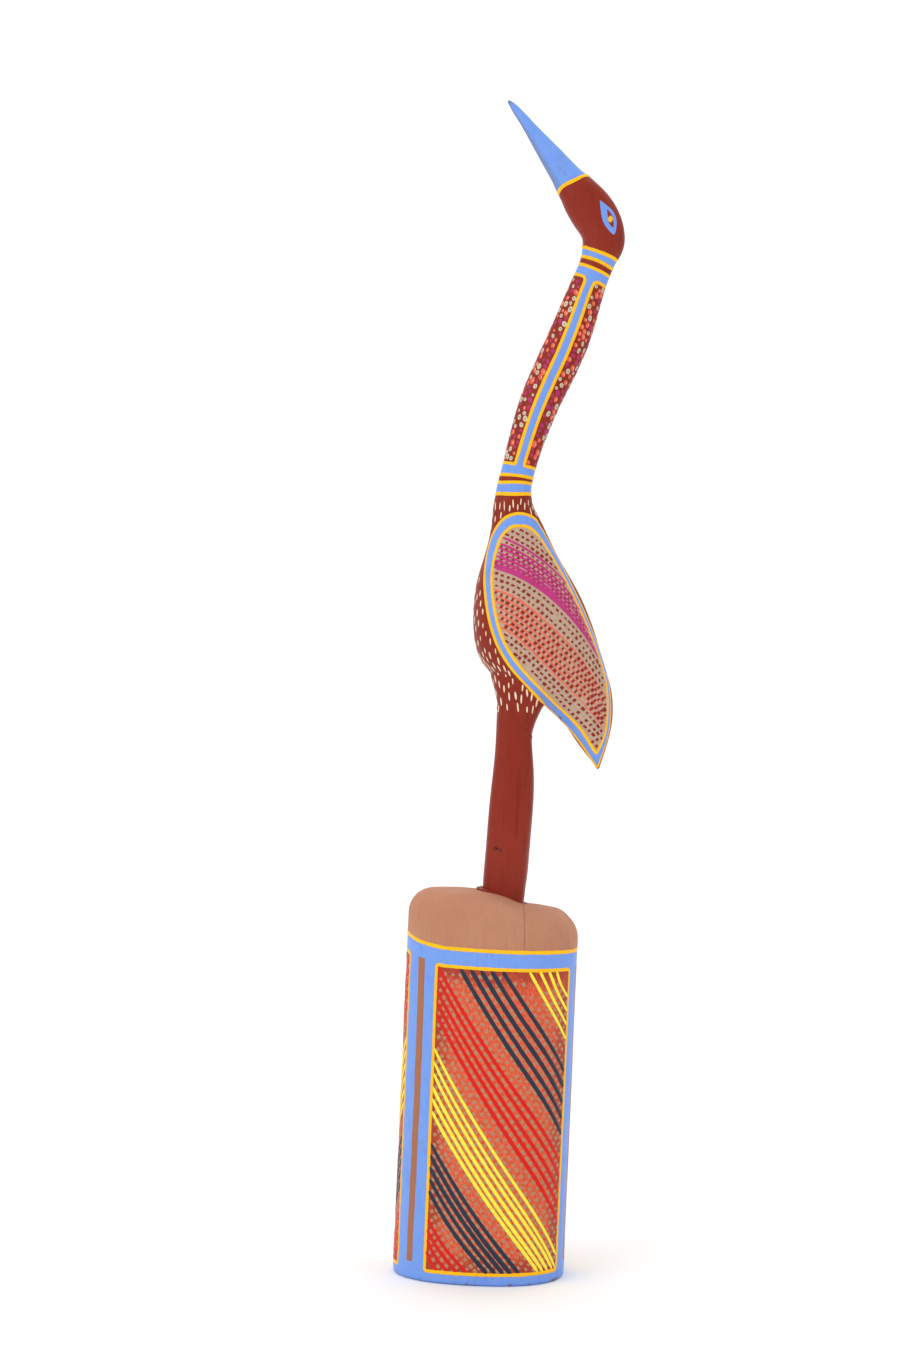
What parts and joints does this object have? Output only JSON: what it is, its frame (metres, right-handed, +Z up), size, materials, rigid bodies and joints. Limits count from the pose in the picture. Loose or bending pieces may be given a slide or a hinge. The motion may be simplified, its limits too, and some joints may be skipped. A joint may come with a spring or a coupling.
{
  "type": "carved wading bird on log base",
  "caption": "Painted wooden carving of a long-necked wading bird, standing on one thick leg that is glued into a length of round log.",
  "frame": {"origin": "middle of the log's flat foot, where the carving stands", "axes": "+X towards the tail side, so the beak points to -X; +Y through the bird from one painted side to the other; +Z up"},
  "size_m": [0.1419, 0.0969, 0.7163],
  "materials": {
    "bare_wood": "sanded",
    "dowel_wood": "turned",
    "wood_glue": "dried",
    "earth_red_paint": "satin paint",
    "sky_blue_paint": "satin paint",
    "yellow_paint": "satin paint",
    "cream_paint": "satin paint",
    "coral_paint": "satin paint",
    "magenta_paint": "satin paint",
    "scarlet_paint": "satin paint",
    "navy_paint": "satin paint"
  },
  "bodies": {
    "root": {"base_block": "bare_wood", "leg_post": "earth_red_paint", "foot_glue_bead": "wood_glue", "leg_dowel": "dowel_wood", "body": "earth_red_paint", "neck_dowel": "dowel_wood", "neck": "earth_red_paint", "head_dowel": "dowel_wood", "head": "earth_red_paint", "beak_dowel": "dowel_wood", "beak": "sky_blue_paint"}
  },
  "joints": []
}
